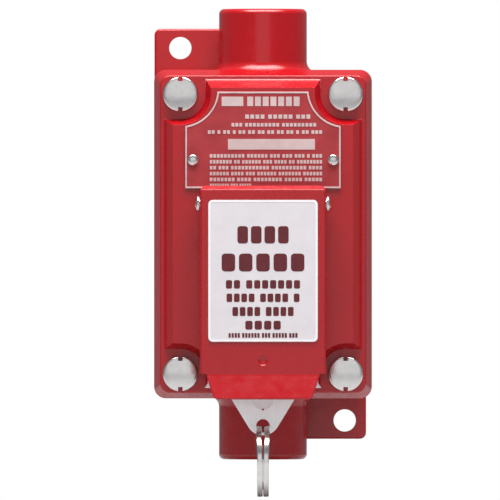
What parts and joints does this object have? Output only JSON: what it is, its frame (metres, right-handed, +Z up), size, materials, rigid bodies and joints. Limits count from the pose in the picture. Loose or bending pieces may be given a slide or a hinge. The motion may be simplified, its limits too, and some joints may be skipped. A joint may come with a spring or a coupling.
{
  "type": "manual call point",
  "caption": "Wall-mounted hazardous-area manual call point: cast box with conduit hubs, bolted cover, lift door, pull plate with ring, cam and plunger working an inner switch.",
  "frame": {"origin": "centre of the box's back face, on the wall plane", "axes": "+Z up, towards the upper conduit hub; +Y into the wall; +X to the right as the user faces the front, which looks along -Y"},
  "size_m": [0.1108, 0.1033, 0.2482],
  "materials": {
    "red_enamel": "glossy red enamel on a casting",
    "plate_red": "matte red field with a raised pale border",
    "label_white": "satin printed label",
    "polished_steel": "polished",
    "satin_steel": "satin stainless sheet",
    "spring_steel": "bright steel",
    "bronze": "turned bronze",
    "brass": "bright brass",
    "black_plastic": "moulded phenolic",
    "button_red": "moulded"
  },
  "bodies": {
    "housing": {"back_box": "red_enamel", "front_cover": "red_enamel", "cover_bolt_top_left": "polished_steel", "cover_bolt_top_right": "polished_steel", "cover_bolt_bottom_left": "polished_steel", "cover_bolt_bottom_right": "polished_steel", "nameplate": "plate_red", "nameplate_screw_left": "polished_steel", "nameplate_screw_right": "polished_steel", "hinge_screw_left": "polished_steel", "hinge_screw_right": "polished_steel", "guide_screw_left": "polished_steel", "guide_screw_right": "polished_steel", "plunger_bushing": "bronze", "plunger_spring": "spring_steel", "switch_bracket": "spring_steel", "bracket_screw_left": "polished_steel", "bracket_screw_right": "polished_steel", "switch_body": "black_plastic", "switch_screw_left": "polished_steel", "switch_screw_right": "polished_steel", "terminal_common": "brass", "terminal_open": "brass", "terminal_closed": "brass", "terminal_screw_common": "brass", "terminal_screw_open": "brass", "terminal_screw_closed": "brass", "ground_screw": "brass"},
    "door": {"lift_door": "red_enamel", "door_label": "label_white"},
    "pull": {"pull_plate": "satin_steel", "cam_block": "spring_steel", "cam_rivet_left": "polished_steel", "cam_rivet_right": "polished_steel"},
    "ring": {"split_ring": "polished_steel"},
    "plunger": {"plunger": "polished_steel", "retaining_clip": "spring_steel"},
    "button": {"switch_button": "button_red"}
  },
  "joints": [
    {"name": "door_hinge", "type": "hinge", "parent": "housing", "child": "door", "pos_m": [0, -0.0895, 0.0154], "axis": [-1, 0, 0], "range_deg": [0, 95]},
    {"name": "pull_slide", "type": "slide", "parent": "housing", "child": "pull", "axis": [0, 0, -1], "range_m": [0, 0.012]},
    {"name": "ring_swing", "type": "hinge", "parent": "pull", "child": "ring", "pos_m": [0, -0.083, -0.0974], "axis": [0, 1, 0], "range_deg": [-80, 80]},
    {"name": "plunger_slide", "type": "slide", "parent": "housing", "child": "plunger", "axis": [0, 1, 0], "range_m": [0, 0.0025], "deforming": ["plunger_spring"]},
    {"name": "button_slide", "type": "slide", "parent": "housing", "child": "button", "axis": [0, 1, 0], "range_m": [0, 0.0025]}
  ],
  "couplings": [
    {"joint": "plunger_slide", "follows": "pull_slide", "ratio": 0.2},
    {"joint": "button_slide", "follows": "pull_slide", "ratio": 0.2}
  ]
}
